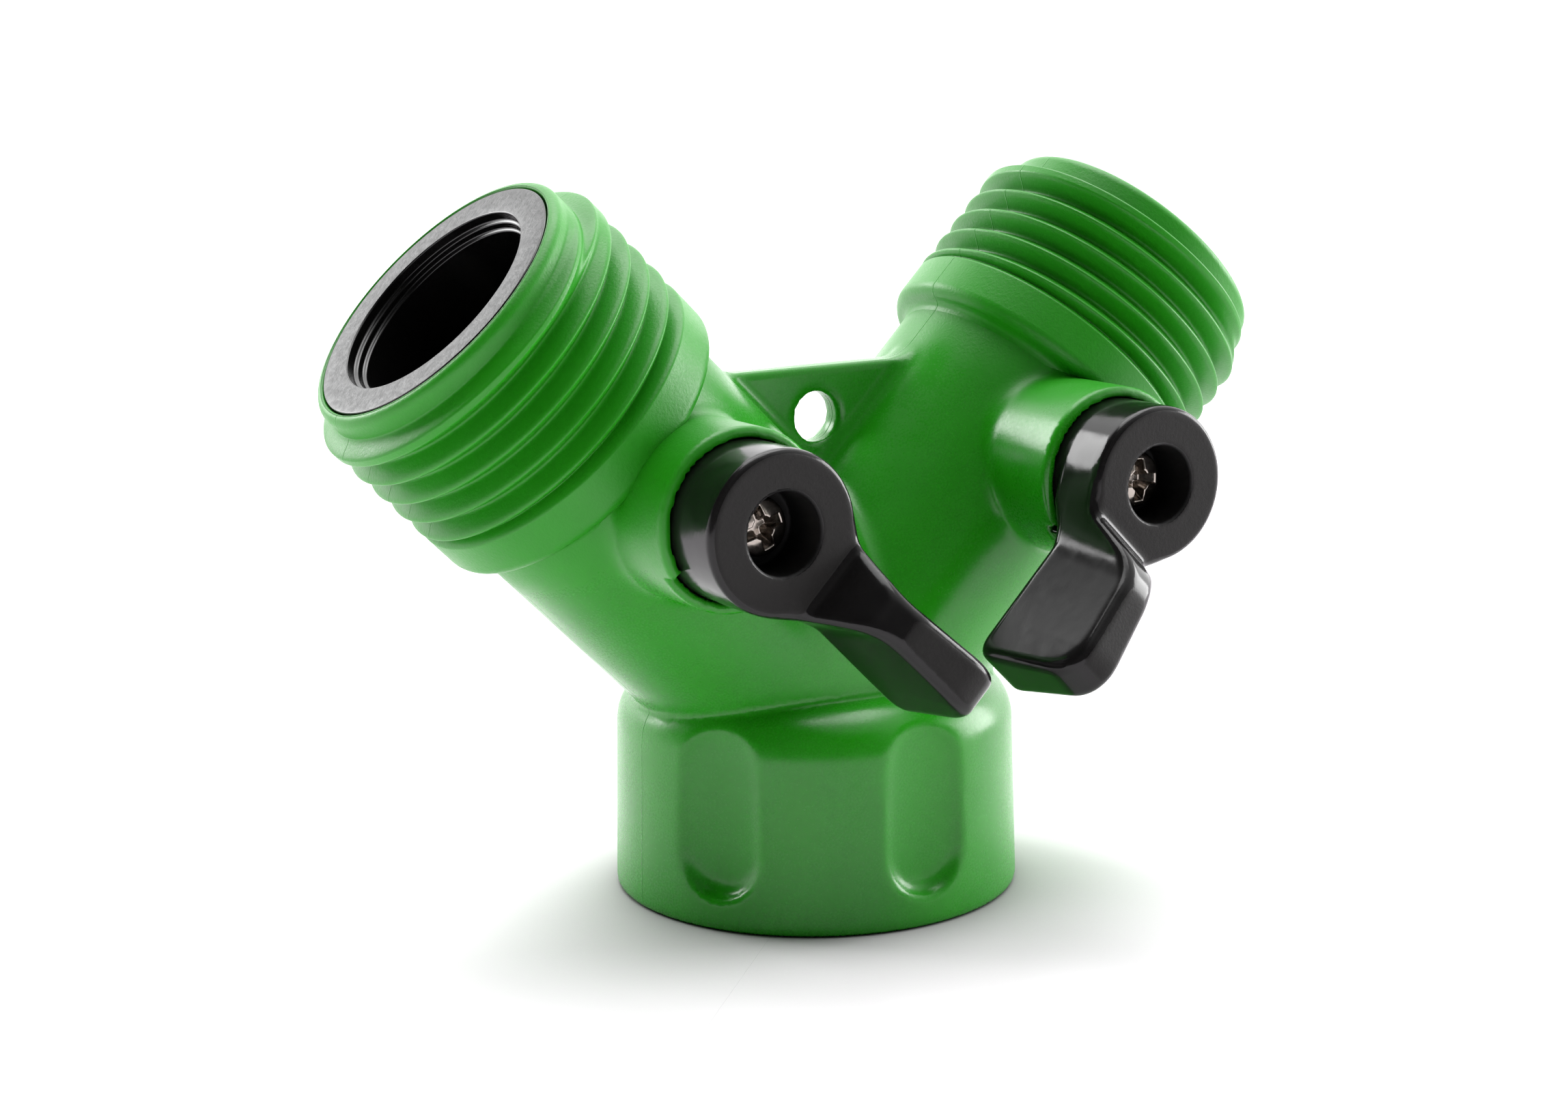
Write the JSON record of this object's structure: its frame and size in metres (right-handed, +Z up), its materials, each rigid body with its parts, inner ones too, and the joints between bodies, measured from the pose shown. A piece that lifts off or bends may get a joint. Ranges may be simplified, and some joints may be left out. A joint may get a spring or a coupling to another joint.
{
  "type": "hose splitter",
  "caption": "Y-shaped garden hose splitter: threaded inlet cuff, angled threaded outlets, and a lever-turned ball valve in each arm.",
  "frame": {"origin": "on the inlet cuff's axis at the cuff's lower face", "axes": "+Z up along the inlet cuff's axis, +X from the left outlet towards the right outlet, -Y towards the levers"},
  "size_m": [0.0822, 0.0474, 0.0586],
  "materials": {
    "green_plastic": "satin to glossy moulded plastic",
    "black_plastic": "glossy moulded black plastic, fine texture on the lever's front",
    "black_matt_plastic": "finely textured black plastic",
    "black_rubber": "matt black rubber",
    "nickel_steel": "nickel-plated steel"
  },
  "bodies": {
    "fitting": {"y_body": "green_plastic", "inlet_washer": "black_rubber", "left_inner_seat": "black_rubber", "left_outer_seat": "black_rubber", "left_seat_retainer": "black_matt_plastic", "left_retainer_o_ring": "black_rubber", "right_inner_seat": "black_rubber", "right_outer_seat": "black_rubber", "right_seat_retainer": "black_matt_plastic", "right_retainer_o_ring": "black_rubber"},
    "left_valve": {"left_lever": "black_plastic", "left_lever_screw": "nickel_steel", "left_stem": "black_plastic", "left_stem_o_ring": "black_rubber", "left_ball": "black_plastic"},
    "right_valve": {"right_lever": "black_plastic", "right_lever_screw": "nickel_steel", "right_stem": "black_plastic", "right_stem_o_ring": "black_rubber", "right_ball": "black_plastic"}
  },
  "joints": [
    {"name": "left_valve_turn", "type": "hinge", "parent": "fitting", "child": "left_valve", "pos_m": [-0.01715, 0, 0.0347], "axis": [0, 1, 0], "range_deg": [0, 90]},
    {"name": "right_valve_turn", "type": "hinge", "parent": "fitting", "child": "right_valve", "pos_m": [0.01715, 0, 0.0347], "axis": [0, -1, 0], "range_deg": [0, 90]}
  ]
}
